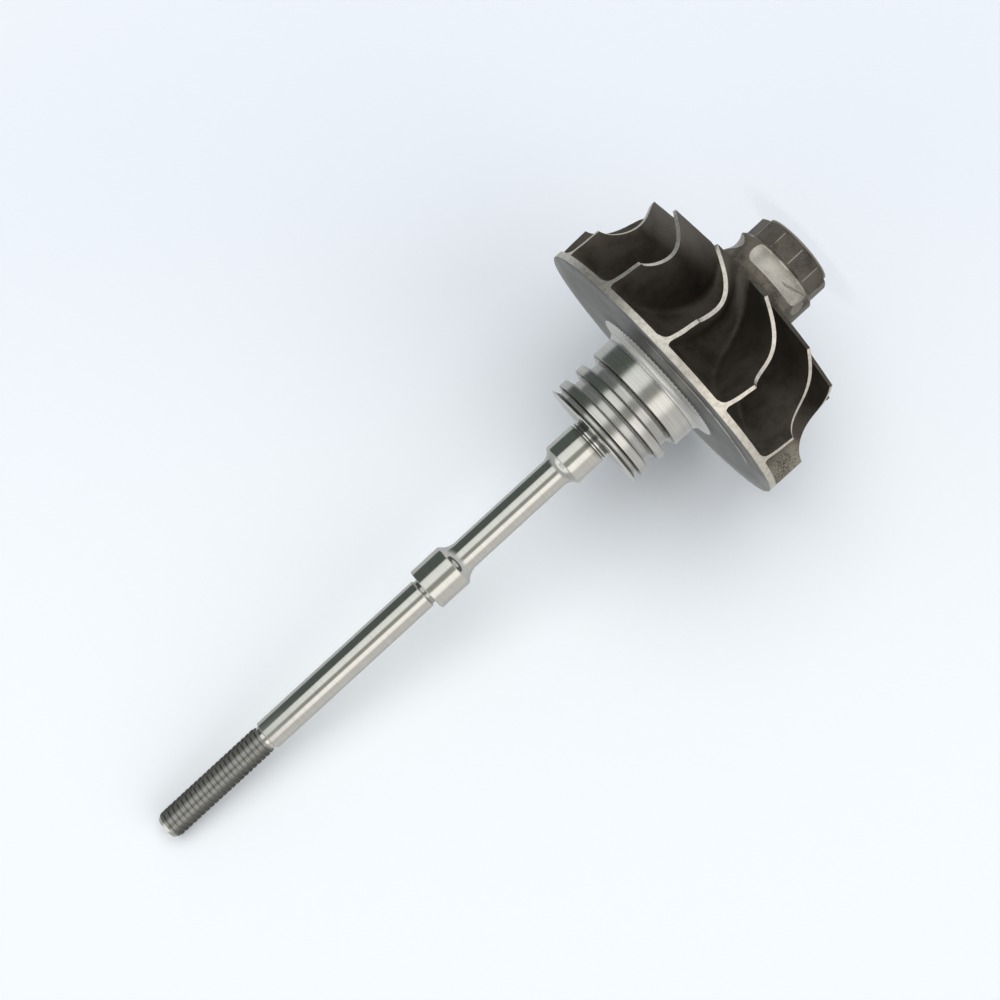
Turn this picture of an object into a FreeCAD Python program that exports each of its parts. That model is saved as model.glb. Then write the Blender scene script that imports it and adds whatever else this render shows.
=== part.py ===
# Turbine wheel with its welded shaft, millimetres.
# The axis is +Z. The origin is the centre of the nose's end face, and the threaded end points up.
import FreeCAD, Part
import math
import os
import Sketcher
from FreeCAD import Placement, Rotation, Vector

doc = FreeCAD.newDocument("turbine_shaft_wheel")

# Driving dimensions

sizes = doc.addObject("Spreadsheet::Sheet", "sizes")
DIMENSIONS = [
    # wheel, along the axis from the nose
    ("nose_dome_radius", 27.92, "sphere that rounds the nose's end"),
    ("nose_dome_centre", 27.7, "centre of that sphere"),
    ("nose_tip_radius", 6.4, "round end of the nose"),
    ("nose_tip_height", 1.6, "round end reaches into the twelve-sided part"),
    ("nose_bevel_start", 1.15, "bevel of the twelve-sided part starts"),
    ("nose_bevel_height", 4.6, "height of that bevel's cone"),
    ("nose_bevel_radius", 20.4, "wide end of that bevel's cone"),
    ("nose_height", 4.91, "top of the twelve-sided nose"),
    ("nose_corner_radius", 7.6, "axis to a corner of the nose"),
    ("nose_turn", -4.0, "angle of one corner of the nose from +X"),
    ("band_start", 5.57, "lower edge of the plain hub band"),
    ("band_radius", 8.2, "plain hub band below the blades"),
    ("contour_start", 15.0, "hub band meets the hub's curve"),
    ("disc_front", 29.83, "front face of the disc at the rim"),
    ("disc_back", 1.37, "back face of the disc at the rim, from the front face"),
    ("rim_radius", 26.0, "rim of the disc and the blades' inlet edges"),
    ("rim_round", 0.18, "rounded corners of the rim"),
    ("back_rise", 0.5, "cone of the disc's back face"),
    ("seam_turn", 172.0, "turn of the revolved forms' seam"),
    ("boss_radius", 12.6, "foot of the boss on the back face"),
    ("boss_edge", 0.65, "edge of the boss above the back face"),
    ("weld_height", 2.3, "weld plane between the wheel and the shaft, above the back face"),
    # blades
    ("blade_count", 12, "blades"),
    ("blade_turn", 7.94, "angle of one blade's root at the disc from +X"),
    ("corner_height", 24.0, "inlet corner of the blade"),
    ("shroud_height", 16.0, "end of the curved shroud edge"),
    ("shroud_radius", 21.68, "radius of the straight shroud edge"),
    ("shroud_overrun", 0.2, "the curved shroud edge's ellipse, beyond the inlet corner"),
    ("shroud_radial", 5.5, "radial half axis of the curved shroud edge"),
    ("exit_tip_height", 13.2, "outlet edge at the tip"),
    ("exit_hub_height", 10.85, "outlet edge at the hub"),
    ("blade_tip_thickness", 0.62, "blade at the inlet and the shroud"),
    ("blade_exit_thickness", 0.5, "blade at the outlet tip"),
    ("blade_disc_thickness", 0.74, "blade where it meets the disc"),
    ("blade_hub_thickness", 1.15, "blade at the hub's outlet end"),
    ("root_round_inlet", 1.15, "root radius at the disc"),
    ("root_round_exit", 0.85, "root radius at the outlet"),
    ("wrap_step", 2.5, "axial spacing of the wrap angles"),
    ("wrap_0", -2.4, "wrap angle one step behind the root"),
    ("wrap_1", 0.0, "wrap angle at the root"),
    ("wrap_2", 1.47, "wrap angles, one step apart, down to the outlet"),
    ("wrap_3", 2.34, ""),
    ("wrap_4", 3.13, ""),
    ("wrap_5", 3.07, ""),
    ("wrap_6", -0.12, ""),
    ("wrap_7", -8.5, ""),
    ("wrap_8", -21.6, ""),
    ("wrap_9", -33.5, ""),
    ("wrap_10", -43.0, ""),
    # balance cuts, each made with a ring
    ("patch_tube", 3.0, "profile radius of the first hub cut"),
    ("patch_ring", 10.55, "ring radius of the first hub cut"),
    ("patch_height", 6.95, "height of the first hub cut"),
    ("patch_turn", -131.0, "direction where the first hub cut starts"),
    ("patch_sweep", 67.0, "angle that the first hub cut covers, without its round ends"),
    ("tail_ring", 10.88, "axis to the centre of its shallow tail's ball"),
    ("tail_height", 8.0, "height of that ball"),
    ("tail_turn", -147.6, "direction of that ball"),
    ("bite_tube", 3.5, "profile radius of the second hub cut"),
    ("bite_ring", 12.85, "ring radius of the second hub cut"),
    ("bite_offset", 1.95, "its ring's centre from the axis"),
    ("bite_height", 7.65, "height of the second hub cut"),
    ("bite_turn", 22.0, "direction of the second hub cut"),
    ("back_tube", 6.0, "profile radius of the back cut"),
    ("back_ring", 23.4, "ring radius of the back cut"),
    ("back_height", 7.27, "ring centre above the back face"),
    ("back_tilt", 3.6, "tilt of the back cut"),
    ("back_turn", -115.0, "direction of the back cut"),
    # shaft, with its places along the axis from the weld plane
    ("land_radius", 10.0, "seal lands"),
    ("land_end", 3.48, "wheel side land ends"),
    ("flank_wide", 0.74, "sloped flank on the wheel side of a groove"),
    ("flank_narrow", 0.49, "sloped flank on the thread side of a groove"),
    ("groove_radius", 8.45, "root of the two seal ring grooves"),
    ("flange_two_start", 6.03, "second land starts"),
    ("flange_two_end", 7.42, "second land ends"),
    ("flange_one_start", 9.64, "first land starts"),
    ("flange_one_end", 11.03, "first land ends"),
    ("vee_radius", 8.9, "root of the narrow groove by the thin disc"),
    ("vee_start", 11.44, "narrow groove root starts"),
    ("vee_end", 11.85, "narrow groove root ends"),
    ("disc_tip_start", 12.48, "thin disc's edge starts"),
    ("disc_tip_end", 12.6, "thin disc's edge ends"),
    ("disc_tip_radius", 10.1, "thin disc"),
    ("disc_face", 12.85, "face of the thin disc at the neck"),
    ("neck_radius", 3.5, "two neck grooves"),
    ("ring_start", 13.22, "ring between the neck grooves starts"),
    ("ring_end", 13.6, "ring between the neck grooves ends"),
    ("ring_radius", 3.75, "ring between the neck grooves"),
    ("journal_two_start", 13.95, "journal by the wheel starts"),
    ("journal_two_end", 19.5, "journal by the wheel ends"),
    ("journal_radius", 3.95, "both bearing journals"),
    ("journal_chamfer", 0.25, "chamfers of the journals"),
    ("waist_radius", 2.64, "waist between the journals"),
    ("slope_two", 1.0, "cone between the wheel side journal and the waist"),
    ("slope_two_round", 1.2, "hollow round at that cone's foot"),
    ("slope_one", 1.35, "cone between the far journal and the waist"),
    ("slope_one_round", 1.6, "hollow round at that cone's foot"),
    ("journal_one_start", 43.7, "far journal starts"),
    ("journal_one_end", 49.78, "far journal ends"),
    ("undercut_radius", 2.35, "undercut below the seat"),
    ("seat_start", 50.7, "compressor wheel seat starts"),
    ("seat_end", 85.25, "compressor wheel seat ends"),
    ("seat_radius", 2.665, "compressor wheel seat"),
    ("seat_chamfer", 0.35, "chamfer at the seat's end"),
    ("thread_start", 85.85, "thread starts above its relief"),
    ("thread_radius", 2.5, "crest of the thread"),
    ("relief_radius", 2.2, "thread relief"),
    ("thread_end", 106.65, "thread ends at the end chamfer"),
    ("tip_height", 107.55, "end face of the threaded end"),
    ("tip_radius", 1.97, "small end of the end chamfer"),
]
for row, (name, value, note) in enumerate(DIMENSIONS, start=1):
    sizes.set("A%d" % row, name)
    sizes.set("B%d" % row, str(value))
    sizes.set("C%d" % row, note)
    sizes.setAlias("B%d" % row, name)
PLACES = [
    ("shroud_axial", "=corner_height - shroud_height + shroud_overrun", "axial half axis of the shroud edge"),
    ("back_plane", "=disc_front + disc_back", "back face of the disc at the rim, from the nose"),
    ("weld_plane", "=back_plane + weld_height", "weld plane, from the nose"),
]
for row, (name, formula, note) in enumerate(PLACES, start=len(DIMENSIONS) + 1):
    sizes.set("A%d" % row, name)
    sizes.set("B%d" % row, formula)
    sizes.set("C%d" % row, note)
    sizes.setAlias("B%d" % row, name)
doc.recompute()


def size(name):
    return float(sizes.get(name))


def along(name):
    """Height of a place on the shaft."""
    return size("weld_plane") + size(name)


# Helpers

def origin_plane(body, role):
    for item in body.Origin.OriginFeatures:
        if item.Role == role:
            return item


def turned_profile(body, name, base, corners):
    """Closes a half section from (radius, height above the base) corners, all expressions, on the XZ plane."""
    corners = [(radius, base if height == "0" else "%s + %s" % (base, height)) for radius, height in corners]
    sketch = body.newObject("Sketcher::SketchObject", name)
    sketch.AttachmentSupport = [(origin_plane(body, "XZ_Plane"), "")]
    sketch.MapMode = "FlatFace"
    doc.recompute()
    points = []
    for radius, height in corners:
        x = 0.0 if radius == "0" else float(sketch.evalExpression(radius))
        points.append(Vector(x, float(sketch.evalExpression(height)), 0))
    count = len(points)
    for i in range(count):
        sketch.addGeometry(Part.LineSegment(points[i], points[(i + 1) % count]), False)
    for i in range(count):
        sketch.addConstraint(Sketcher.Constraint("Coincident", i, 2, (i + 1) % count, 1))
    for i, (radius, height) in enumerate(corners):
        if radius == "0":
            sketch.addConstraint(Sketcher.Constraint("PointOnObject", i, 1, -2))
        else:
            index = sketch.addConstraint(Sketcher.Constraint("DistanceX", -1, 1, i, 1, points[i].x))
            sketch.setExpression("Constraints[%d]" % index, radius)
        index = sketch.addConstraint(Sketcher.Constraint("DistanceY", -1, 1, i, 1, points[i].y))
        sketch.setExpression("Constraints[%d]" % index, height)
    return sketch


def revolved(body, sketch, name):
    turned = body.newObject("PartDesign::Revolution", name)
    turned.Profile = sketch
    turned.ReferenceAxis = (sketch, ["V_Axis"])
    turned.Angle = 360.0
    sketch.Visibility = False
    doc.recompute()
    return turned


def ring_edges(feature, rings):
    """Names of the full circles at the given (radius, height) pairs."""
    names = []
    for i, edge in enumerate(feature.Shape.Edges, start=1):
        if not hasattr(edge.Curve, "Radius"):
            continue
        for radius, height in rings:
            if abs(edge.Curve.Radius - radius) < 0.01 and abs(edge.Curve.Center.z - height) < 0.01:
                names.append("Edge%d" % i)
    if len(names) != len(rings):
        raise RuntimeError("found %d of %d rings on %s" % (len(names), len(rings), feature.Name))
    return names


# Shaft: one turned and ground piece

shaft = doc.addObject("PartDesign::Body", "shaft")
shaft.Label = "shaft"
section = turned_profile(shaft, "shaft_section", "sizes.weld_plane", [
    ("0", "0"),
    ("sizes.land_radius", "0"),
    ("sizes.land_radius", "sizes.land_end"),
    ("sizes.groove_radius", "sizes.land_end + sizes.flank_wide"),
    ("sizes.groove_radius", "sizes.flange_two_start - sizes.flank_narrow"),
    ("sizes.land_radius", "sizes.flange_two_start"),
    ("sizes.land_radius", "sizes.flange_two_end"),
    ("sizes.groove_radius", "sizes.flange_two_end + sizes.flank_wide * 0.8"),
    ("sizes.groove_radius", "sizes.flange_one_start - sizes.flank_narrow"),
    ("sizes.land_radius", "sizes.flange_one_start"),
    ("sizes.land_radius", "sizes.flange_one_end"),
    ("sizes.vee_radius", "sizes.vee_start"),
    ("sizes.vee_radius", "sizes.vee_end"),
    ("sizes.disc_tip_radius", "sizes.disc_tip_start"),
    ("sizes.disc_tip_radius", "sizes.disc_tip_end"),
    ("sizes.neck_radius", "sizes.disc_face"),
    ("sizes.neck_radius", "sizes.ring_start - 0.1"),
    ("sizes.ring_radius", "sizes.ring_start"),
    ("sizes.ring_radius", "sizes.ring_end"),
    ("sizes.neck_radius", "sizes.ring_end + 0.1"),
    ("sizes.neck_radius", "sizes.journal_two_start"),
    ("sizes.journal_radius", "sizes.journal_two_start"),
    ("sizes.journal_radius", "sizes.journal_two_end"),
    ("sizes.waist_radius", "sizes.journal_two_end + sizes.slope_two"),
    ("sizes.waist_radius", "sizes.journal_one_start - sizes.slope_one"),
    ("sizes.journal_radius", "sizes.journal_one_start"),
    ("sizes.journal_radius", "sizes.journal_one_end"),
    ("sizes.undercut_radius", "sizes.journal_one_end"),
    ("sizes.undercut_radius", "sizes.seat_start - 0.3"),
    ("sizes.seat_radius", "sizes.seat_start"),
    ("sizes.seat_radius", "sizes.seat_end"),
    ("sizes.relief_radius", "sizes.seat_end"),
    ("sizes.relief_radius", "sizes.thread_start"),
    ("sizes.thread_radius", "sizes.thread_start + 0.3"),
    ("sizes.thread_radius", "sizes.thread_end"),
    ("sizes.tip_radius", "sizes.tip_height"),
    ("0", "sizes.tip_height"),
])
turned_shaft = revolved(shaft, section, "turned_shaft")


def dressed(kind, name, base, rings, key, cell):
    """Adds a fillet or chamfer to full circles and moves the body's tip to it."""
    feature = shaft.newObject(kind, name)
    feature.Base = (base, ring_edges(base, rings))
    feature.setExpression(key, cell)
    shaft.Tip = feature
    doc.recompute()
    return feature


waist_two = (size("waist_radius"), along("journal_two_end") + size("slope_two"))
waist_one = (size("waist_radius"), along("journal_one_start") - size("slope_one"))
foot_two = dressed("PartDesign::Fillet", "foot_two", turned_shaft, [waist_two], "Radius",
                   "sizes.slope_two_round")
foot_one = dressed("PartDesign::Fillet", "foot_one", foot_two, [waist_one], "Radius",
                   "sizes.slope_one_round")
journal_rounds = dressed("PartDesign::Fillet", "journal_rounds", foot_one, [
    (size("journal_radius"), along("journal_two_end")),
    (size("journal_radius"), along("journal_one_start")),
    (size("journal_radius"), along("journal_one_end")),
], "Radius", "sizes.journal_chamfer")
edge_chamfers = dressed("PartDesign::Chamfer", "edge_chamfers", journal_rounds, [
    (size("journal_radius"), along("journal_two_start")),
    (size("seat_radius"), along("seat_end")),
], "Size", "sizes.seat_chamfer")

# Turbine wheel: one casting with a machined back, rim and blade edges.
# The hub's curve is a quarter ellipse, which neither a sketch of lines nor a primitive gives.

contour_axial = size("disc_front") - size("contour_start")
contour_radial = size("rim_radius") - size("band_radius")


def hub_contour(turn):
    """Height and radius on the hub, from the disc at 0 to the plain band at a quarter turn and on along it."""
    if turn > math.pi / 2:
        return size("contour_start") - contour_axial * (turn - math.pi / 2), size("band_radius")
    height = size("contour_start") + contour_axial * math.cos(turn)
    radius = size("rim_radius") - contour_radial * math.sin(turn)
    return height, radius


def shroud_contour(turn):
    """Height and radius on the curved shroud edge, from the straight part at 0 towards the inlet corner."""
    height = size("shroud_height") + size("shroud_axial") * math.sin(turn)
    radius = size("shroud_radius") + size("shroud_radial") * (1.0 - math.cos(turn))
    return height, radius


def smooth_edge(points, start=None, end=None):
    curve = Part.BSplineCurve()
    if start is None:
        curve.interpolate(Points=points)
    else:
        curve.interpolate(Points=points, InitialTangent=start, FinalTangent=end)
    return curve.toShape()


def revolved_section(parts):
    """Turns a closed half section about the axis. Smooth edges come as shapes, straight ones as corners."""
    chain = []
    for part in parts:
        if isinstance(part, list):
            for a, b in zip(part, part[1:]):
                chain.append(Part.LineSegment(a, b).toShape())
        else:
            chain.append(part)
    face = Part.Face(Part.Wire(Part.__sortEdges__(chain)))
    turned = face.revolve(Vector(0, 0, 0), Vector(0, 0, 1), 360)
    turned.rotate(Vector(0, 0, 0), Vector(0, 0, 1), size("seam_turn"))
    return turned


hub_points = []
for i in range(13):
    height, radius = hub_contour(math.pi / 2 * i / 12)
    hub_points.append(Vector(radius, 0, height))
hub_edge = smooth_edge(hub_points, Vector(-1, 0, 0), Vector(0, 0, -1))

boss_points = []
for i in range(7):
    turn = math.pi / 2 * i / 6
    rise = (size("weld_height") - size("boss_edge")) * (1.0 - math.cos(turn))
    reach = (size("boss_radius") - size("land_radius")) * (1.0 - math.sin(turn))
    boss_points.append(Vector(size("land_radius") + reach, 0, size("back_plane") + size("boss_edge") + rise))
boss_edge = smooth_edge(boss_points, Vector(-1, 0, 0), Vector(0, 0, 1))

hub_form = doc.addObject("Part::Feature", "hub_form")
hub_form.Shape = revolved_section([
    hub_edge,
    [
        hub_points[0],
        Vector(size("rim_radius"), 0, size("back_plane") - size("rim_round")),
        Vector(size("rim_radius") - size("rim_round"), 0, size("back_plane")),
        Vector(size("boss_radius") + 0.1, 0, size("back_plane") + size("back_rise")),
        boss_points[0],
    ],
    boss_edge,
    [
        boss_points[-1],
        Vector(0, 0, size("weld_plane")),
        Vector(0, 0, size("nose_height")),
        Vector(size("nose_corner_radius") - 0.1, 0, size("nose_height")),
        Vector(size("band_radius"), 0, size("band_start")),
        hub_points[-1],
    ],
])

# Blades. Each is a sheet of straight radial lines whose angle follows the wrap angles.
# Half the thickness goes to each side of that sheet, and grows into a root radius near the hub.

wrap_names = ["wrap_%d" % i for i in range(11)]
wrap_places = [size("wrap_step") * (i - 1) for i in range(11)]
wrap_law = Part.BSplineCurve()
wrap_law.interpolate(
    Points=[Vector(place, size(name), 0) for place, name in zip(wrap_places, wrap_names)],
    Parameters=wrap_places,
)


def wrap(height):
    """Angle about the axis, in radians, of the first blade's sheet at a height."""
    depth = size("disc_front") - 0.08 - height
    return math.radians(size("blade_turn") - wrap_law.value(depth).y)


def blade_point(height, radius, half, flare, side):
    """A point half a thickness off the middle sheet, square to it, and further around the axis by the flare."""
    angle = wrap(height)
    twist = (wrap(height + 0.01) - wrap(height - 0.01)) / 0.02
    around = Vector(math.sin(angle), -math.cos(angle), 0)
    normal = around + Vector(0, 0, radius * twist)
    normal.normalize()
    middle = Vector(radius * math.cos(angle), radius * math.sin(angle), height)
    return middle + normal * (side * half) + around * (side * flare)


def root_flare(distance, round_radius):
    """Extra half thickness of the root radius at a distance from the hub's surface."""
    if distance >= round_radius:
        return 0.0
    near = 0.06 * round_radius
    reach = round_radius - max(distance, near)
    drop = math.sqrt(round_radius ** 2 - reach ** 2)
    flare = round_radius - drop
    if distance < near:
        flare += (near - distance) * reach / drop
    return flare


def interpolated(points, places):
    curve = Part.BSplineCurve()
    curve.interpolate(Points=points, Parameters=places)
    return curve


# The blank ends at the outlet edge, square to the sheet, and runs past the shroud and inlet edges.
last_turn = math.pi / 2 + (size("contour_start") - size("exit_hub_height")) / contour_axial
exit_slope = (size("exit_tip_height") - size("exit_hub_height")) / (size("shroud_radius") - size("band_radius"))
head_reach = 1.4
first_head = size("corner_height") + 0.3
last_head = size("exit_tip_height") + head_reach * exit_slope


def blank_row(turn):
    """Heights, radii, half thicknesses and root flares from inside the hub to beyond the shroud edge."""
    if turn < 0.0:
        foot_height = size("disc_front")
        foot_radius = size("rim_radius") - turn * contour_radial
    else:
        foot_height, foot_radius = hub_contour(turn)
    share = turn / last_turn
    head_height = first_head - share * (first_head - last_head)
    head_radius = size("rim_radius") + head_reach - share * (size("rim_radius") - size("shroud_radius"))
    length = math.hypot(head_height - foot_height, head_radius - foot_radius)
    round_radius = size("root_round_inlet") + share * (size("root_round_exit") - size("root_round_inlet"))
    thick_root = size("blade_disc_thickness")
    thick_root += max(0.0, share) * (size("blade_hub_thickness") - size("blade_disc_thickness"))
    thick_head = size("blade_tip_thickness")
    thick_head -= max(0.0, share - 0.5) * 2.0 * (size("blade_tip_thickness") - size("blade_exit_thickness"))
    row = []
    for distance in [-0.4, 0.06, 0.2, 0.4, 0.7, 1.2, 2.2, 0.6 * length, length]:
        taper = min(1.0, max(0.0, distance / length))
        thickness = thick_root + taper * (thick_head - thick_root)
        height = foot_height + (head_height - foot_height) * distance / length
        radius = foot_radius + (head_radius - foot_radius) * distance / length
        row.append((height, radius, thickness / 2.0, root_flare(distance, round_radius)))
    return row


def blank_side(side):
    """One side of the blade, a cubic surface through the rows."""
    first_turn = math.radians(-4.0)
    turns = [first_turn + (last_turn - first_turn) * i / 14 for i in range(15)]
    mean_length = 0.6 * contour_radial
    places = [0.0, 0.46, 0.6, 0.8, 1.1, 1.6, 2.6, 0.4 + 0.57 * mean_length, 0.4 + mean_length]
    columns = []
    for turn in turns:
        points = [blade_point(*place, side) for place in blank_row(turn)]
        columns.append(interpolated(points, places))
    poles = []
    for k in range(columns[0].NbPoles):
        along = interpolated([column.getPole(k + 1) for column in columns], turns)
        poles.append(along.getPoles())
    surface = Part.BSplineSurface()
    surface.buildFromPolesMultsKnots(
        poles,
        columns[0].getMultiplicities(),
        along.getMultiplicities(),
        columns[0].getKnots(),
        along.getKnots(),
        False,
        False,
        columns[0].Degree,
        along.Degree,
    )
    return surface


def blade_blank():
    """Closes the two sides into one solid."""
    left, right = blank_side(1), blank_side(-1)
    low_u, high_u, low_v, high_v = left.bounds()
    faces = [left.toShape(), right.toShape()]
    for place in (low_u, high_u):
        faces.append(Part.makeRuledSurface(left.uIso(place).toShape(), right.uIso(place).toShape()))
    for place in (low_v, high_v):
        faces.append(Part.makeRuledSurface(left.vIso(place).toShape(), right.vIso(place).toShape()))
    shell = Part.Shell(Part.makeCompound(faces).Faces)
    solid = Part.Solid(shell)
    if solid.Volume < 0:
        solid.reverse()
    return solid


# The blades' outline is turned: rim, inlet corner, curved and straight shroud edge.
# Below, it clears the outlet edge at the tip and trims the root radii at the hub.
shroud_top = math.asin((size("corner_height") - size("shroud_height")) / size("shroud_axial"))
shroud_points = []
for i in range(9):
    height, radius = shroud_contour(shroud_top * (8 - i) / 8)
    shroud_points.append(Vector(radius, 0, height))
shroud_points[0] = Vector(size("rim_radius"), 0, size("corner_height"))
shroud_edge = smooth_edge(shroud_points)
inside = size("band_radius") - 1.2
tip_clear, root_trim = 1.5, 0.25
outline = revolved_section([
    shroud_edge,
    [
        shroud_points[-1],
        Vector(size("shroud_radius"), 0, size("exit_tip_height") - tip_clear),
        Vector(size("band_radius"), 0, size("exit_hub_height") - root_trim),
        Vector(inside, 0, size("exit_hub_height") - root_trim),
        Vector(inside, 0, size("disc_front") + size("disc_back") / 2),
        Vector(size("rim_radius") - 2.0, 0, size("disc_front") + size("disc_back") / 2),
        Vector(size("rim_radius"), 0, size("disc_front")),
        shroud_points[0],
    ],
])
blade_shape = blade_blank().common(outline)

casting_parts = [hub_form]
for i in range(int(size("blade_count"))):
    blade = doc.addObject("Part::Feature", "blade_%02d" % (i + 1))
    turned_blade = blade_shape.copy()
    turned_blade.rotate(Vector(0, 0, 0), Vector(0, 0, 1), 360.0 / size("blade_count") * i)
    blade.Shape = turned_blade
    casting_parts.append(blade)

# Twelve-sided nose, its end domed

nose_prism = doc.addObject("Part::Prism", "nose_prism")
nose_prism.setExpression("Polygon", "sizes.blade_count")
nose_prism.setExpression("Circumradius", "sizes.nose_corner_radius")
nose_prism.setExpression("Height", "sizes.band_start")
nose_prism.setExpression(
    "Placement",
    "create(<<placement>>; create(<<vector>>; 0; 0; 0); create(<<rotation>>; sizes.nose_turn; 0; 0))",
)
nose_bevel = doc.addObject("Part::Cone", "nose_bevel")
nose_bevel.setExpression("Radius1", "sizes.nose_tip_radius")
nose_bevel.setExpression("Radius2", "sizes.nose_bevel_radius")
nose_bevel.setExpression("Height", "sizes.nose_bevel_height")
nose_bevel.setExpression(
    "Placement",
    "create(<<placement>>; create(<<vector>>; 0; 0; sizes.nose_bevel_start); create(<<rotation>>; 0; 0; 0))",
)
nose_sides = doc.addObject("Part::MultiCommon", "nose_sides")
nose_sides.Shapes = [nose_prism, nose_bevel]
nose_tip = doc.addObject("Part::Cylinder", "nose_tip")
nose_tip.setExpression("Radius", "sizes.nose_tip_radius")
nose_tip.setExpression("Height", "sizes.nose_tip_height")
nose_dome = doc.addObject("Part::Sphere", "nose_dome")
nose_dome.setExpression("Radius", "sizes.nose_dome_radius")
nose_dome.setExpression(
    "Placement",
    "create(<<placement>>; create(<<vector>>; 0; 0; sizes.nose_dome_centre); create(<<rotation>>; 0; 0; 0))",
)
nose_end = doc.addObject("Part::MultiCommon", "nose_end")
nose_end.Shapes = [nose_tip, nose_dome]
casting_parts.append(nose_sides)
casting_parts.append(nose_end)

casting = doc.addObject("Part::MultiFuse", "casting")
casting.Shapes = casting_parts
casting.Refine = True

# Balance cuts. One follows the hub and has round ends and a tail, and two bite the wheel off centre or tilted.

patch = doc.addObject("Part::Torus", "patch")
patch.setExpression("Radius1", "sizes.patch_ring")
patch.setExpression("Radius2", "sizes.patch_tube")
patch.setExpression("Angle3", "sizes.patch_sweep")
patch.setExpression(
    "Placement",
    "create(<<placement>>; create(<<vector>>; 0; 0; sizes.patch_height); "
    "create(<<rotation>>; sizes.patch_turn; 0; 0))",
)
patch_ends = []
for name, ring, height, turn in (
    ("patch_end_a", "sizes.patch_ring", "sizes.patch_height", "sizes.patch_turn"),
    ("patch_end_b", "sizes.patch_ring", "sizes.patch_height", "(sizes.patch_turn + sizes.patch_sweep)"),
    ("patch_tail", "sizes.tail_ring", "sizes.tail_height", "sizes.tail_turn"),
):
    ball = doc.addObject("Part::Sphere", name)
    ball.setExpression("Radius", "sizes.patch_tube")
    ball.setExpression(
        "Placement",
        "create(<<placement>>; create(<<vector>>; %s * cos(%s * 1deg); %s * sin(%s * 1deg); %s); "
        "create(<<rotation>>; 0; 0; 0))" % (ring, turn, ring, turn, height),
    )
    patch_ends.append(ball)


def ring_cut(name, tube, ring, offset, height, turn, tilt):
    cut = doc.addObject("Part::Torus", name)
    cut.setExpression("Radius1", ring)
    cut.setExpression("Radius2", tube)
    cut.setExpression(
        "Placement",
        "create(<<placement>>; create(<<vector>>; -(%s) * cos(%s * 1deg); -(%s) * sin(%s * 1deg); %s); "
        "create(<<rotation>>; %s; %s; 0))" % (offset, turn, offset, turn, height, turn, tilt),
    )
    return cut


hub_cut = ring_cut("hub_cut", "sizes.bite_tube", "sizes.bite_ring", "sizes.bite_offset",
                   "sizes.bite_height", "sizes.bite_turn", "0")
back_cut = ring_cut("back_cut", "sizes.back_tube", "sizes.back_ring", "0",
                    "sizes.back_plane + sizes.back_height", "sizes.back_turn", "sizes.back_tilt")
cuts = doc.addObject("Part::MultiFuse", "cuts")
cuts.Shapes = [patch] + patch_ends + [hub_cut, back_cut]

turbine_wheel = doc.addObject("Part::Cut", "turbine_wheel")
turbine_wheel.Base = casting
turbine_wheel.Tool = cuts
turbine_wheel.Label = "turbine_wheel"
doc.recompute()

# Checks, then one file per piece

for item in doc.Objects:
    for state in item.State:
        if state in ("Invalid", "Error"):
            raise RuntimeError("%s is %s" % (item.Name, state))
os.makedirs("parts", exist_ok=True)
for piece in (turbine_wheel, shaft):
    shape = piece.Shape
    if shape.isNull() or not shape.isValid() or len(shape.Solids) != 1:
        raise RuntimeError("%s is not one valid solid" % piece.Label)
    print(piece.Label, "volume", round(shape.Volume, 2), "faces", len(shape.Faces), shape.BoundBox)
for piece in (turbine_wheel, shaft):
    piece.Shape.exportStep("parts/%s.step" % piece.Label)
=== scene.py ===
"""The looks of a turbine wheel with its welded shaft.

The cast wheel is the source's own mesh with its finishes, the shaft is turned again with its
thread, and a pale stage stands around them."""

import math
from collections import namedtuple

import bmesh
import bpy
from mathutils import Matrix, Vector


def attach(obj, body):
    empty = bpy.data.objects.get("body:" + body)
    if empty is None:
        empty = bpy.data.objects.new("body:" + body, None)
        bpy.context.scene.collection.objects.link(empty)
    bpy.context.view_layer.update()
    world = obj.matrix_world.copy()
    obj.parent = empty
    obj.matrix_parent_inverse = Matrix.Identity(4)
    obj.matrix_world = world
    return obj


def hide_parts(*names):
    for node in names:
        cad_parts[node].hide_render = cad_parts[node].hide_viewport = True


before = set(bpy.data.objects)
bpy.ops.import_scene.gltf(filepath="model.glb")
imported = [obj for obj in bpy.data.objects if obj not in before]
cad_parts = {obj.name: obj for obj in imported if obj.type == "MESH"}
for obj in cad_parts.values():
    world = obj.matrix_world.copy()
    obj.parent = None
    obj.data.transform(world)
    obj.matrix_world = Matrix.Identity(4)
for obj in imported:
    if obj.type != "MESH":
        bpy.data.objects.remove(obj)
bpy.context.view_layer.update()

bl_info = {
    "name": "Turbine shaft wheel",
    "version": (1, 0, 0),
    "blender": (4, 5, 0),
    "location": "3D View > Sidebar > Turbine wheel",
    "description": "Dresses a cast turbine wheel and its turned, threaded shaft, and sets a pale stage",
    "category": "Object",
}

MM = 0.001
BODY = "root"
TO_DEGREES = math.degrees(1.0)
UP = Vector((0.0, 0.0, 1.0))
BLACK = (0.0, 0.0, 0.0)


# Sizes and colours that a user would change

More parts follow.
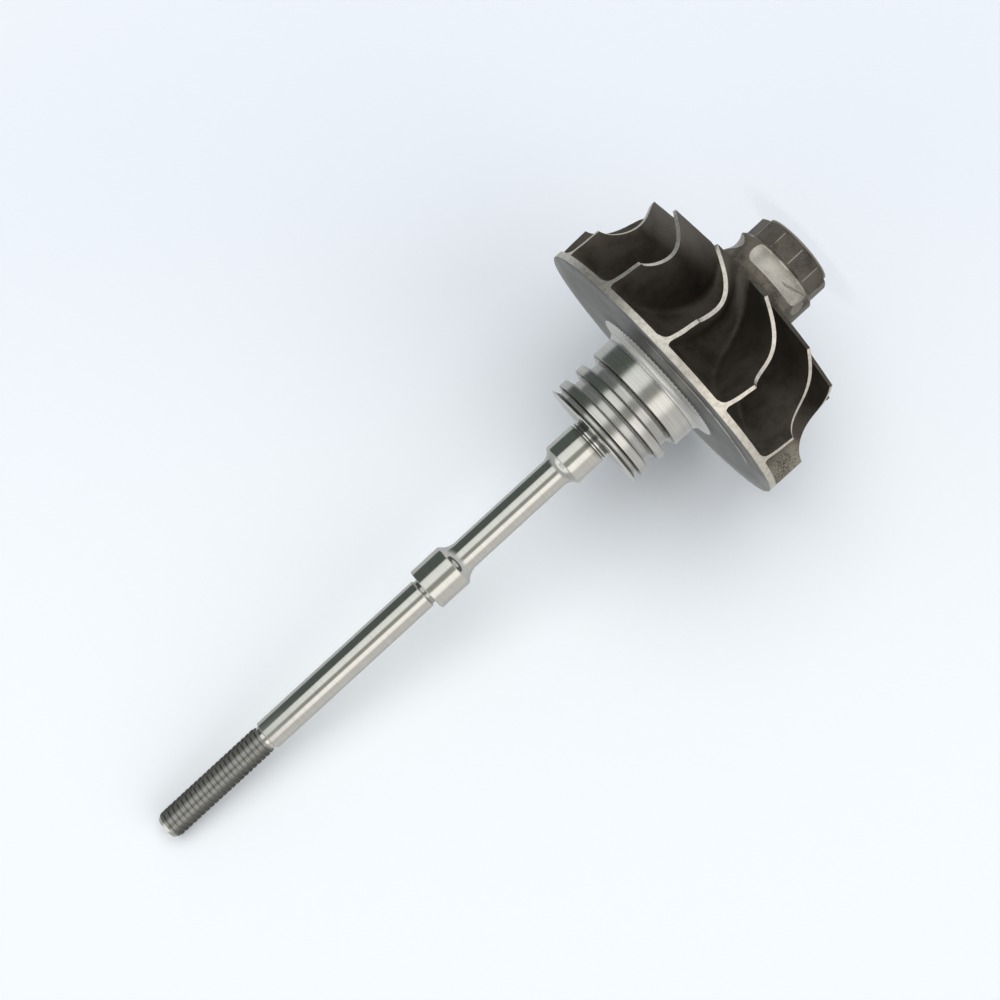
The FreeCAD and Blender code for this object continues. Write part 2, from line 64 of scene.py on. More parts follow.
class TurbineWheelSettings(bpy.types.PropertyGroup):
    """The casting and its machined faces."""

    crease: bpy.props.FloatProperty(
        name="Crease angle", description="Edges that turn by more than this stay sharp",
        default=math.radians(24), subtype="ANGLE")
    cast_colour: bpy.props.FloatVectorProperty(
        name="Casting", description="Matt cast surface of the hub and the blades",
        default=(0.107, 0.091, 0.072), subtype="COLOR", size=3)
    nose_colour: bpy.props.FloatVectorProperty(
        name="Nose", description="Cast surface of the nose and the plain hub band",
        default=(0.148, 0.129, 0.102), subtype="COLOR", size=3)
    edge_colour: bpy.props.FloatVectorProperty(
        name="Machined edges", description="Turned rim and ground blade edges",
        default=(0.89, 0.83, 0.745), subtype="COLOR", size=3)
    back_colour: bpy.props.FloatVectorProperty(
        name="Back face", description="Turned back face of the disc",
        default=(0.32, 0.32, 0.315), subtype="COLOR", size=3)
    boss_colour: bpy.props.FloatVectorProperty(
        name="Boss", description="Turned boss on the back face",
        default=(0.83, 0.82, 0.79), subtype="COLOR", size=3)
    patch_colour: bpy.props.FloatVectorProperty(
        name="Balance cuts", description="Ground balance cuts on the hub band",
        default=(0.66, 0.62, 0.55), subtype="COLOR", size=3)


class TurbineShaftSettings(bpy.types.PropertyGroup):
    """The turned shaft and its thread."""

    crease: bpy.props.FloatProperty(
        name="Crease angle", description="Edges that turn by more than this stay sharp",
        default=math.radians(26), subtype="ANGLE")
    steps: bpy.props.IntProperty(
        name="Steps", description="Flat faces around the shaft", default=192, min=24)
    thread_steps: bpy.props.IntProperty(
        name="Thread steps", description="Flat faces in one turn of the thread", default=48, min=12)
    thread_pitch: bpy.props.FloatProperty(
        name="Thread pitch", description="Distance between two turns of the thread",
        default=0.95 * MM, unit="LENGTH")
    thread_depth: bpy.props.FloatProperty(
        name="Thread depth", description="Height of the thread's ridge",
        default=0.20 * MM, unit="LENGTH")
    left_handed: bpy.props.BoolProperty(
        name="Left-handed thread", description="The thread turns the other way from a common one",
        default=True)
    edge_break: bpy.props.FloatProperty(
        name="Edge break", description="Small bevel on every turned edge of the seal hub",
        default=0.07 * MM, unit="LENGTH")
    steel_colour: bpy.props.FloatVectorProperty(
        name="Ground steel", description="Journals, waist and seat",
        default=(0.80, 0.79, 0.75), subtype="COLOR", size=3)
    seal_colour: bpy.props.FloatVectorProperty(
        name="Turned steel", description="Seal lands and grooves",
        default=(0.82, 0.81, 0.775), subtype="COLOR", size=3)
    thread_colour: bpy.props.FloatVectorProperty(
        name="Thread", description="Rolled thread",
        default=(0.51, 0.505, 0.485), subtype="COLOR", size=3)


class TurbineStageSettings(bpy.types.PropertyGroup):
    """Camera, lamps and pale surroundings."""

    lens: bpy.props.FloatProperty(
        name="Lens", description="Focal length in mm", default=72.52, min=10.0)
    camera_place: bpy.props.FloatVectorProperty(
        name="Camera place", description="Where the camera stands", size=3,
        default=(2.732 * MM, -330.613 * MM, 63.956 * MM), subtype="TRANSLATION", unit="LENGTH")
    camera_turn: bpy.props.FloatVectorProperty(
        name="Camera turn", description="How the camera is turned", size=3, subtype="EULER",
        default=(math.radians(-90.1152), math.radians(47.4763), math.radians(179.9153)))
    pale: bpy.props.FloatVectorProperty(
        name="Background", description="Pale background",
        default=(0.871, 0.921, 0.973), subtype="COLOR", size=3)
    key_strength: bpy.props.FloatProperty(
        name="Key lamp", description="Strength of the main lamp", default=1.42)
    fill_strength: bpy.props.FloatProperty(
        name="Fill lamp", description="Strength of the lamp near the nose", default=0.85)
    top_strength: bpy.props.FloatProperty(
        name="Top lamp", description="Strength of the lamp above", default=0.5)
    sky_strength: bpy.props.FloatProperty(
        name="Room light", description="Even light from all around", default=0.47)


# Shader maths as Python expressions

class Term:
    """A node's output that can be used in an expression."""

    def __init__(self, tree, socket):
        self.tree, self.socket = tree, socket

    def __add__(self, other):
        return self.tree.maths("ADD", self, other)

    def __sub__(self, other):
        return self.tree.maths("SUBTRACT", self, other)

    def __rsub__(self, other):
        return self.tree.maths("SUBTRACT", other, self)

    def __mul__(self, other):
        return self.tree.maths("MULTIPLY", self, other)

    def __pow__(self, other):
        return self.tree.maths("POWER", self, other)

    __radd__ = __add__
    __rmul__ = __mul__


# A point on a piece, then in mm its x, y, z and radius, and its angle about the axis
Place = namedtuple("Place", "point x y z radius angle")


class Tree:
    """The node tree of one material or world."""

    def __init__(self, owner):
        owner.use_nodes = True
        self.nodes, self.links = owner.node_tree.nodes, owner.node_tree.links
        self.nodes.clear()

    def node(self, kind, settings=None, values=None, out=0):
        """Makes a node: its settings first, then the values or links of its sockets."""
        made = self.nodes.new(kind)
        for name, value in (settings or {}).items():
            if name == "stops":
                while len(made.color_ramp.elements) < len(value):
                    made.color_ramp.elements.new(1.0)
                for element, (place, colour) in zip(made.color_ramp.elements, value):
                    element.position, element.color = place, (*colour, 1.0)
            else:
                setattr(made, name, value)
        pairs = values.items() if isinstance(values, dict) else enumerate(values or ())
        for key, value in pairs:
            if isinstance(value, Term):
                self.links.new(value.socket, made.inputs[key])
            else:
                made.inputs[key].default_value = value
        return Term(self, made.outputs[out]) if made.outputs else None

    def maths(self, operation, *values):
        return self.node("ShaderNodeMath", {"operation": operation}, values)

    def mix(self, share, first, second):
        """A colour between two colours."""
        ends = [(*end, 1.0) if isinstance(end, tuple) else end for end in (first, second)]
        return self.node("ShaderNodeMix", {"data_type": "RGBA"},
                         {0: share, 6: ends[0], 7: ends[1]}, out=2)

    def mix_shaders(self, share, first, second):
        return self.node("ShaderNodeMixShader", {}, (share, first, second))

    def ramp(self, value, low, high):
        """Goes smoothly from 0 at low to 1 at high."""
        return self.node("ShaderNodeMapRange", {"interpolation_type": "SMOOTHSTEP"},
                         {0: value, 1: low, 2: high})

    def between(self, value, low, high, soft):
        """1 between low and high, 0 outside, with soft ends."""
        rises = self.ramp(value, low - soft, low + soft)
        return rises * (1.0 - self.ramp(value, high - soft, high + soft))

    def noise(self, vector, scale, detail=2.0, roughness=0.5):
        return self.node("ShaderNodeTexNoise", {}, {
            "Vector": vector, "Scale": scale, "Detail": detail, "Roughness": roughness})

    def combine(self, x, y, z):
        return self.node("ShaderNodeCombineXYZ", {}, (x, y, z))

    def split(self, vector):
        """The three coordinates of a vector."""
        first = self.node("ShaderNodeSeparateXYZ", {}, (vector,))
        return [Term(self, output) for output in first.socket.node.outputs]

    def bump(self, height, strength, distance):
        return self.node("ShaderNodeBump", {}, {
            "Strength": strength, "Distance": distance, "Height": height})

    def place(self):
        point = self.node("ShaderNodeTexCoord", out="Object")
        x, y, z = (part * (1.0 / MM) for part in self.split(point))
        return Place(point, x, y, z, (x * x + y * y) ** 0.5, self.maths("ARCTAN2", y, x))

    def surface(self, shader):
        self.node("ShaderNodeOutputMaterial", {}, {"Surface": shader})

    def metal(self, colour, metallic, roughness, normal):
        self.surface(self.node("ShaderNodeBsdfPrincipled", {}, {
            "Base Color": colour, "Metallic": metallic, "Roughness": roughness, "Normal": normal}))


def new_material(name):
    material = bpy.data.materials.new(name)
    return material, Tree(material)


def darker(colour, share):
    return tuple(channel * share for channel in colour)


# Where the casting's marks lie: heights and radii in mm, angles in degrees

NOSE_FADE = (4.4, 14.0)
NOSE_CORNERS = (1.6, 4.86)
NOSE_TURN = 4.0
NOSE_SHOULDER = (4.9, 5.12)
NOSE_RIM = (0.05, 0.8)
BAND_HEIGHTS = (5.2, 10.3)
FLANK_ANGLES, FLANK_HEIGHTS, FLANK_RADII = (-177.0, -168.0), (22.5, 30.6), (20.5, 24.0)
CRESCENT_ANGLES, CRESCENT_HIGHLIGHT_RADII = (-155.0, -74.0), (21.15, 21.7)
BACK_ZONES = (21.5, 25.5)
SEAM_HEIGHTS = (33.36, 33.5)
PATCH_FADE = (-118.0, -92.0)
PATCH_TAIL = (-160.0, -139.0)
# First and last angle, height at -106 degrees and half width of each scratch
SCRATCHES = ((-139.5, -106.0, 7.46, 0.10), (-131.0, -110.0, 7.70, 0.07))
SCRATCH_RISE = 0.0453

# Colours of the marks

BAND_COLOUR = (0.235, 0.21, 0.17)
CORNER_HIGHLIGHT_COLOUR = (0.50, 0.45, 0.38)
PALE_FLANK_COLOUR = (0.36, 0.325, 0.26)
CRESCENT_COLOUR = (0.15, 0.135, 0.115)
CUT_EDGE_HIGHLIGHT_COLOUR = (0.75, 0.73, 0.68)
FOOT_SHADE_COLOUR = (0.05, 0.05, 0.045)
SEAM_COLOUR = (0.10, 0.09, 0.08)
SCRATCH_COLOUR = (0.055, 0.048, 0.040)

# Main places of the casting, in mm

SHROUD_TOP = 24.0
SHROUD_TURN = 16.0
SHROUD_RADIUS = 21.68
SHROUD_AXIAL = 8.2
SHROUD_RADIAL = 5.5
RIM_RADIUS = 26.0
BACK_PLANE = 31.2
BACK_DEPTH = 1.1
BOSS_RADIUS = 12.62


# Finishes of the casting

def cast_finish(settings):
    """Matt investment casting: fine grain, faint mottling, and a lighter, browner nose."""
    material, tree = new_material("cast_alloy")
    at = tree.place()
    degrees = at.angle * TO_DEGREES
    grain = tree.noise(at.point, 4200.0, 3.0, 0.65)
    mottle = tree.noise(at.point, 300.0, 4.0, 0.6)
    nose = 1.0 - tree.ramp(at.z, *NOSE_FADE)
    body = tree.mix(nose, tuple(settings.cast_colour), tuple(settings.nose_colour))
    shade = mottle * 0.6 + grain * 0.4
    colour = tree.mix(tree.ramp(shade, 0.34, 0.60), darker(settings.cast_colour, 0.55), body)
    band = tree.between(at.z, *BAND_HEIGHTS, 0.3) * (1.0 - tree.ramp(at.radius, 8.3, 8.7))
    colour = tree.mix(band * tree.ramp(shade, 0.38, 0.62) * 0.6, colour, BAND_COLOUR)
    # Painted highlights lie along the nose's twelve corners and the shoulder above them, broken by the
    # mottling, and along the end's rim.
    corner = tree.maths("SINE", (degrees + NOSE_TURN) * math.radians(6.0))
    corner = 1.0 - tree.ramp(corner * corner, 0.0005, 0.009)
    ridge = corner * tree.between(at.z, *NOSE_CORNERS, 0.12) * tree.ramp(at.radius, 7.3, 7.5)
    shoulder = tree.between(at.z, *NOSE_SHOULDER, 0.06) * tree.ramp(at.radius, 7.7, 7.95)
    rim = tree.between(at.z, *NOSE_RIM, 0.12) * tree.ramp(at.radius, 5.6, 6.2)
    corner_highlight = tree.maths("MAXIMUM", ridge, shoulder) * tree.ramp(mottle, 0.36, 0.52)
    colour = tree.mix(corner_highlight * 0.75 + rim * 0.6, colour, CORNER_HIGHLIGHT_COLOUR)
    # One blade's flank is lighter in speckles towards the rim.
    flank = tree.between(degrees, *FLANK_ANGLES, 2.0) * tree.between(at.z, *FLANK_HEIGHTS, 1.5)
    flank = flank * tree.ramp(at.radius, *FLANK_RADII)
    pale_speckle = flank * tree.ramp(grain * 0.6 + mottle * 0.4, 0.34, 0.56)
    colour = tree.mix(pale_speckle, colour, PALE_FLANK_COLOUR)
    roughness = 0.50 + (mottle - 0.5) * 0.25 - nose * 0.10
    tree.metal(colour, 0.55, roughness, tree.bump(grain + mottle * 0.5, 0.45, 0.05 * MM))
    return material


def edge_finish(settings):
    """Turned rim and ground blade edges, pale, with fine tool lines around the axis."""
    material, tree = new_material("machined_edge")
    at = tree.place()
    lines = tree.noise(tree.combine(at.radius * 9.0, at.z * 9.0, at.angle * 0.6), 1.0, 2.0, 0.6)
    mottle = tree.noise(at.point, 1300.0, 3.0, 0.65)
    pale = tuple(settings.edge_colour)
    colour = tree.mix(tree.ramp(mottle + lines * 0.3, 0.42, 0.82), darker(pale, 0.74), pale)
    tree.metal(colour, 0.9, 0.40 + (lines - 0.5) * 0.15, tree.bump(lines, 0.12, 0.03 * MM))
    return material


def back_finish(settings):
    """Turned back face with tool marks, darker inside, and a crescent cut with a painted highlight
    along its inner edge.
    """
    material, tree = new_material("turned_back")
    at = tree.place()
    fine = tree.noise(tree.combine(at.radius * 8.0, 0.0, at.angle * 0.3), 1.0, 3.0, 0.7)
    broad = tree.noise(tree.combine(at.radius * 0.9, 0.0, at.angle * 0.5), 1.0, 2.0, 0.5)
    patches = tree.noise(at.point, 210.0, 3.0, 0.6)
    steel = tuple(settings.back_colour)
    shade = fine * 0.45 + broad * 0.4 + patches * 0.35
    colour = tree.mix(tree.ramp(shade, 0.46, 0.72), darker(steel, 0.62), darker(steel, 1.28))
    inside = tree.mix(0.47, colour, BLACK)
    colour = tree.mix(tree.ramp(at.radius, *BACK_ZONES), inside, colour)
    reach = tree.between(at.angle * TO_DEGREES, *CRESCENT_ANGLES, 4.0)
    cut = reach * tree.ramp(at.radius, 21.6, 21.9) * (1.0 - tree.ramp(at.radius, 25.3, 25.6))
    # Painted highlight along the crescent's inner edge, broken by the patches.
    cut_edge_highlight = reach * tree.between(at.radius, *CRESCENT_HIGHLIGHT_RADII, 0.15) * tree.ramp(patches, 0.30, 0.45)
    colour = tree.mix(cut * 0.6, colour, CRESCENT_COLOUR)
    colour = tree.mix(cut_edge_highlight * 0.9, colour, CUT_EDGE_HIGHLIGHT_COLOUR)
    tree.metal(colour, 0.95, 0.38 + (broad - 0.5) * 0.2, tree.bump(fine, 0.35, 0.03 * MM))
    return material


def boss_finish(settings):
    """Bright turned boss around the weld, with painted shade at its foot and a dark seam at the shaft's
    hub.
    """
    material, tree = new_material("turned_boss")
    at = tree.place()
    lines = tree.noise(tree.combine(at.radius * 3.0, at.z * 3.0, at.angle * 0.5), 1.0, 2.0, 0.5)
    steel = tuple(settings.boss_colour)
    colour = tree.mix(tree.ramp(lines, 0.35, 0.65), darker(steel, 0.84), steel)
    # Painted shade at the foot of the boss, where it meets the back face.
    foot = 1.0 - tree.ramp(at.z, BACK_PLANE + 0.05, BACK_PLANE + 0.22)
    seam = tree.between(at.z, *SEAM_HEIGHTS, 0.05) * (1.0 - tree.ramp(at.radius, 10.3, 10.5))
    colour = tree.mix(foot * 0.85, colour, FOOT_SHADE_COLOUR)
    colour = tree.mix(seam * 0.5, colour, SEAM_COLOUR)
    tree.metal(colour, 0.9, 0.26 + (lines - 0.5) * 0.10, tree.bump(lines, 0.05, 0.02 * MM))
    return material


def patch_finish(settings):
    """Balance cuts ground by hand: pale, with short marks across, and two long scratches."""
    material, tree = new_material("ground_cut")
    at = tree.place()
    degrees = at.angle * TO_DEGREES
    across = tree.noise(tree.combine(at.z * 2.2, at.angle * 24.0, 0.0), 1.0, 4.0, 0.65)
    along = tree.noise(tree.combine(at.z * 9.0, at.angle * 2.4, 3.0), 1.0, 4.0, 0.65)
    patches = tree.noise(at.point, 420.0, 3.0, 0.6)
    pale = tuple(settings.patch_colour)
    low = 1.0 - tree.ramp(degrees, *PATCH_FADE)
    marks = across * 0.5 + patches * 0.5 - low * 0.10
    colour = tree.mix(tree.ramp(marks, 0.28, 0.62), darker(pale, 0.66), pale)
    colour = tree.mix(low * tree.ramp(along, 0.52, 0.66) * 0.7, colour, darker(pale, 0.34))
    tail = tree.between(degrees, *PATCH_TAIL, 5.0)
    colour = tree.mix(tail * 0.6, colour, darker(pale, 0.32))
    for first, last, height, width in SCRATCHES:
        off = at.z - (degrees * SCRATCH_RISE + (height + 106.0 * SCRATCH_RISE))
        scratch = 1.0 - tree.ramp(off * off, 0.0, width * width)
        scratch = scratch * tree.between(degrees, first, last, 2.0)
        colour = tree.mix(scratch * 0.85, colour, SCRATCH_COLOUR)
    rub = tree.bump(across + along * 0.5, 0.45, 0.04 * MM)
    tree.metal(colour, 0.72, 0.52 + (across - 0.5) * 0.2, rub)
    return material


# The casting

def shroud_radius(z):
    """Radius of the blades' ground shroud edge at a height, in mm."""
    if z <= SHROUD_TURN:
        return SHROUD_RADIUS
    rise = min(1.0, (z - SHROUD_TURN) / SHROUD_AXIAL)
    return SHROUD_RADIUS + SHROUD_RADIAL * (1.0 - math.sqrt(1.0 - rise * rise))


def ring_distance(point, ring, centre):
    """Distance of a point from a circle about +Z, in mm."""
    radial = math.hypot(point.x - centre.x, point.y - centre.y) - ring
    return math.hypot(radial, point.z - centre.z)


def turned(radius, degrees, height):
    """A point at a radius, an angle and a height, in mm."""
    turn = math.radians(degrees)
    return Vector((radius * math.cos(turn), radius * math.sin(turn), height))


# Tools that made the hub's balance cuts: tool radius, ring radius and centre, in mm
PATCH_TOOLS = (
    (3.0, 10.55, Vector((0.0, 0.0, 6.95))),
    (3.0, 0.0, turned(10.55, -131.0, 6.95)),
    (3.0, 0.0, turned(10.55, -64.0, 6.95)),
    (3.0, 0.0, turned(10.88, -147.6, 8.0)),
    (3.5, 12.85, turned(-1.95, 22.0, 7.65)),
)
ON_TOOL, ON_SHROUD = 0.04, 0.06
CAST, EDGE, BACK, BOSS, PATCH = range(5)
CASTING_FINISHES = (cast_finish, edge_finish, back_finish, boss_finish, patch_finish)


def casting_finish_of(face):
    """Which finish a face of the casting has, from where it lies and how it faces."""
    centre = face.calc_center_median() / MM
    normal = face.normal
    radius = math.hypot(centre.x, centre.y)
    outward = (centre.x * normal.x + centre.y * normal.y) / max(radius, 1e-6)
    if radius < BOSS_RADIUS + 0.03 and centre.z > BACK_PLANE + 0.01:
        return BOSS
    if centre.z > BACK_PLANE - BACK_DEPTH and normal.z > 0.5:
        return BACK
    if radius > RIM_RADIUS - 0.35 and outward > 0.3 and centre.z > SHROUD_TOP - 0.1:
        return EDGE
    if 10.0 < centre.z < SHROUD_TOP + 0.1 and radius > 15.0:
        if abs(radius - shroud_radius(centre.z)) < ON_SHROUD and outward > 0.45:
            return EDGE
    if 3.8 < centre.z < 10.8 and radius < 8.17 and outward > 0.2:
        for tool, ring, middle in PATCH_TOOLS:
            if abs(ring_distance(centre, ring, middle) - tool) < ON_TOOL:
                return PATCH
    return CAST


def link_piece(mesh, name, node):
    piece = bpy.data.objects.new(name, mesh)
    bpy.context.scene.collection.objects.link(piece)
    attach(piece, BODY)
    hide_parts(node)


class TURBINE_OT_wheel(bpy.types.Operator):
    """Dress the cast turbine wheel"""

    bl_idname = "turbine.wheel"
    bl_label = "Turbine wheel"

    def execute(self, context):
        settings = context.scene.turbine_wheel
        bm = bmesh.new()
        bm.from_mesh(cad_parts["turbine_wheel"].data)
        bmesh.ops.remove_doubles(bm, verts=bm.verts, dist=0.002 * MM)
        bmesh.ops.dissolve_degenerate(bm, edges=bm.edges, dist=0.001 * MM)
        bmesh.ops.recalc_face_normals(bm, faces=bm.faces)
        if not bm.faces:
            raise RuntimeError("the wheel's mesh is empty")
        for face in bm.faces:
            face.material_index = casting_finish_of(face)
            face.smooth = True
        mesh = bpy.data.meshes.new("cast_turbine_wheel")
        bm.to_mesh(mesh)
        bm.free()
        mesh.set_sharp_from_angle(angle=settings.crease)
        for finish in CASTING_FINISHES:
            mesh.materials.append(finish(settings))
        link_piece(mesh, "cast_turbine_wheel", "turbine_wheel")
        return {"FINISHED"}


# The shaft's half section from the weld to the tip, as (radius, height) in mm

HUB_RADIUS, GROOVE_RADIUS = 10.0, 8.45
JOURNAL_RADIUS, WAIST_RADIUS, SEAT_RADIUS = 3.95, 2.64, 2.665
WELD = 33.5
SEAL_HUB = (
    (HUB_RADIUS, 36.98), (GROOVE_RADIUS, 37.72), (GROOVE_RADIUS, 39.04),
    (HUB_RADIUS, 39.53), (HUB_RADIUS, 40.92), (GROOVE_RADIUS, 41.51), (GROOVE_RADIUS, 42.65),
    (HUB_RADIUS, 43.14), (HUB_RADIUS, 44.53), (8.9, 44.94), (8.9, 45.35),
    (10.1, 45.98), (10.1, 46.1))
SEAL_END = 46.12
NECK = ((3.5, 46.35), (3.5, 46.62), (3.75, 46.72), (3.75, 47.1), (3.5, 47.2), (3.5, 47.45))
JOURNAL_START = (JOURNAL_RADIUS, 47.45)
WAIST_SHOULDERS = ((JOURNAL_RADIUS, 53.0), (JOURNAL_RADIUS, 77.2))
WAIST_FOOT, WAIST_HEAD = (WAIST_RADIUS, 54.0), (WAIST_RADIUS, 75.85)
JOURNAL_END = (JOURNAL_RADIUS, 83.28)
UNDERCUT = ((2.35, 83.28), (2.35, 83.9))
SEAT_START, SEAT_END = (SEAT_RADIUS, 84.2), (SEAT_RADIUS, 118.75)
RELIEF_RADIUS = 2.2
THREAD_START, THREAD_END, TIP = 119.35, 140.15, 141.05
THREAD_RADIUS, TIP_RADIUS = 2.5, 1.97
THREAD_RUN_IN = 0.1
CHAMFER = (THREAD_RADIUS - TIP_RADIUS) / (TIP - THREAD_END)

# The ridge's half widths, as shares of the pitch
RIDGE_FOOT, RIDGE_CREST = 0.47, 0.27

# Where painted shade lies on the shaft, in mm
GROOVES_START, LAST_GROOVE = (37.0, 37.1), (44.4, 44.5)
NECK_GROOVES = ((46.2, 46.6), (46.98, 47.26))
UNDERCUT_SHADE = (83.3, 83.95)


# Finishes of the shaft

def steel_finish(name, colour, roughness, line_scale, line_depth, shade_and_dullness):
    """Turned or ground steel with fine lines around the axis. shade_and_dullness says where painted
    shade lies and where the metal is duller.
    """
    material, tree = new_material(name)
    at = tree.place()
    colour = tuple(colour)
    lines = tree.combine(at.z * line_scale, at.radius * line_scale, at.angle * 0.3)
    lines = tree.noise(lines, 1.0, 3.0, 0.65)
    broad = tree.noise(tree.combine(at.z * 0.9, at.radius * 0.9, at.angle * 0.9), 1.0, 2.0, 0.5)
    shade = tree.ramp(lines * 0.6 + broad * 0.4, 0.3, 0.7)
    tint = tree.mix(shade, darker(colour, 1.0 - line_depth), colour)
    # dark is painted shade in the grooves, the undercut and the thread's valleys; dull lowers the
    # metallic there.
    dark, dull = shade_and_dullness(tree, at)
    tint = tree.mix(dark, tint, darker(colour, 0.12))
    tree.metal(tint, 1.0 - dull, roughness + (broad - 0.5) * roughness * 0.5,
               tree.bump(lines, line_depth, 0.02 * MM))
    return material


def seal_groove_shade(tree, at):
    """The ring grooves are a little dull, with painted shade under the lip of each land and on the
    groove floors.
    """
    below = tree.ramp(at.z, *GROOVES_START)
    groove = (1.0 - tree.ramp(at.radius, 8.8, 9.95)) * below
    lip = tree.between(at.radius, 9.30, 9.92, 0.12) * below
    dark = lip * (0.66 + tree.ramp(at.z, *LAST_GROOVE) * 0.22) + groove * 0.22
    return dark, groove * 0.22


def neck_groove_shade(tree, at):
    """Painted shade in the small grooves next to the journal and in the undercut."""
    first, second = (tree.between(at.z, *groove, 0.06) for groove in NECK_GROOVES)
    far = tree.between(at.z, *UNDERCUT_SHADE, 0.05) * 0.35
    return (first + second) * 0.85 + far, (first + second) * 0.3


def thread_valley_shade(settings):
    """Painted shade between the thread's crests, which follows its winding."""
    pitch = settings.thread_pitch / MM
    sense = -1.0 if settings.left_handed else 1.0

    def shade_and_dullness(tree, at):
        turn = (at.z - (THREAD_START - THREAD_RUN_IN)) * (math.tau / pitch) - at.angle * sense
        valley = tree.ramp(tree.maths("COSINE", turn) * -1.0, 0.1, 0.85)
        return valley * 0.62, 0.07
    return shade_and_dullness


# The shaft

STEEL, SEAL, THREAD = range(3)


def round_corners(bm, places, size, segments):
    """Rounds the half section's corners at the given places."""
    corners = [v for v in bm.verts for radius, height in places
               if math.hypot(v.co.x / MM - radius, v.co.z / MM - height) < 0.004]
    if len(corners) != len(places):
        raise RuntimeError("found %d of %d corners of the shaft" % (len(corners), len(places)))
    bmesh.ops.bevel(bm, geom=corners, offset=size, offset_type="OFFSET", segments=segments,
                    profile=0.5, affect="VERTICES", material=-1, clamp_overlap=True)


def thread_ridge(bm, settings):
    """One ridge wound about the axis, cut back to the relief and to the end chamfer."""
    pitch = settings.thread_pitch / MM
    foot = THREAD_RADIUS - settings.thread_depth / MM - 0.02
    start, stop = THREAD_START - THREAD_RUN_IN, TIP - 0.3
    corners = ((foot, -RIDGE_FOOT), (THREAD_RADIUS, -RIDGE_CREST),
               (THREAD_RADIUS, RIDGE_CREST), (foot, RIDGE_FOOT))
    face = bm.faces.new([bm.verts.new((radius * MM, 0.0, (start + share * pitch) * MM))
                         for radius, share in corners])
    turns = (stop - start) / pitch
    steps = int(settings.thread_steps * turns)
    sense = -1.0 if settings.left_handed else 1.0
    bmesh.ops.spin(bm, geom=[face, *face.edges, *face.verts], cent=(0, 0, 0), axis=(0, 0, 1),
                   dvec=(0, 0, (stop - start) * MM / steps), angle=sense * math.tau * turns,
                   steps=steps, use_merge=False, use_duplicate=True)
    bmesh.ops.holes_fill(bm, edges=[e for e in bm.edges if e.is_boundary], sides=4)
    for v in bm.verts:
        radius = math.hypot(v.co.x, v.co.y) / MM
        height = v.co.z / MM
        v.co.z = min(height, TIP - 0.02) * MM
        run_in = max(0.0, height - THREAD_START + 0.05) * 1.2
        limit = min(THREAD_RADIUS, THREAD_RADIUS - (height - THREAD_END) * CHAMFER,
                    RELIEF_RADIUS - 0.05 + run_in)
        if radius > limit > 0.0:
            v.co.x *= limit / radius
            v.co.y *= limit / radius


def shaft_outline(settings):
    """The half section, with the thread's core in place of the thread."""
    core = THREAD_RADIUS - settings.thread_depth / MM
    core_end = THREAD_END + (THREAD_RADIUS - core) / CHAMFER
    return [(0.0, WELD), (HUB_RADIUS, WELD), *SEAL_HUB, *NECK, JOURNAL_START,
            WAIST_SHOULDERS[0], WAIST_FOOT, WAIST_HEAD, WAIST_SHOULDERS[1], JOURNAL_END,
            *UNDERCUT, SEAT_START, SEAT_END, (RELIEF_RADIUS, SEAT_END[1]),
            (RELIEF_RADIUS, THREAD_START), (core, THREAD_START + 0.2), (core, core_end),
            (TIP_RADIUS, TIP), (0.0, TIP)]


class TURBINE_OT_shaft(bpy.types.Operator):
    """Turn the shaft and wind its thread"""

    bl_idname = "turbine.shaft"
    bl_label = "Shaft"

    def execute(self, context):
        settings = context.scene.turbine_shaft
        bm = bmesh.new()
        chain = [bm.verts.new((r * MM, 0.0, z * MM)) for r, z in shaft_outline(settings)]
        for a, b in zip(chain, chain[1:]):
            bm.edges.new((a, b))
        round_corners(bm, [WAIST_FOOT], 0.9 * MM, 8)
        round_corners(bm, [WAIST_HEAD], 1.1 * MM, 8)
        round_corners(bm, [*WAIST_SHOULDERS, JOURNAL_END], 0.2 * MM, 4)
        round_corners(bm, [JOURNAL_START, SEAT_END], 0.3 * MM, 2)
        round_corners(bm, [p for p in SEAL_HUB if p[0] == HUB_RADIUS], settings.edge_break, 2)
        bmesh.ops.spin(bm, geom=[*bm.verts, *bm.edges], cent=(0, 0, 0), axis=(0, 0, 1),
                       angle=math.tau, steps=settings.steps, use_merge=True,
                       use_duplicate=False)
        bmesh.ops.remove_doubles(bm, verts=bm.verts, dist=0.0005 * MM)
        bmesh.ops.recalc_face_normals(bm, faces=bm.faces)
        for face in bm.faces:
            height = face.calc_center_median().z / MM
            face.material_index = SEAL if height < SEAL_END else STEEL
            if THREAD_START < height < THREAD_END + 0.2:
                face.material_index = THREAD
            face.smooth = True
        ridge = bmesh.new()
        thread_ridge(ridge, settings)
        bmesh.ops.recalc_face_normals(ridge, faces=ridge.faces)
        for face in ridge.faces:
            face.material_index = THREAD
            face.smooth = True
        wound = bpy.data.meshes.new("thread_ridge")
        ridge.to_mesh(wound)
        ridge.free()
        bm.from_mesh(wound)
        bpy.data.meshes.remove(wound)
        mesh = bpy.data.meshes.new("turned_shaft")
        bm.to_mesh(mesh)
        bm.free()
        mesh.set_sharp_from_angle(angle=settings.crease)
        for finish in (
                ("ground_steel", settings.steel_colour, 0.12, 6.0, 0.10, neck_groove_shade),
                ("turned_steel", settings.seal_colour, 0.20, 5.0, 0.24, seal_groove_shade),
                ("thread_steel", settings.thread_colour, 0.30, 8.0, 0.20, thread_valley_shade(settings))):
            mesh.materials.append(steel_finish(*finish))
        link_piece(mesh, "turned_shaft", "shaft")
        return {"FINISHED"}


# The stage: the floor is next to the nose, and a board leans behind along the rim and the tip

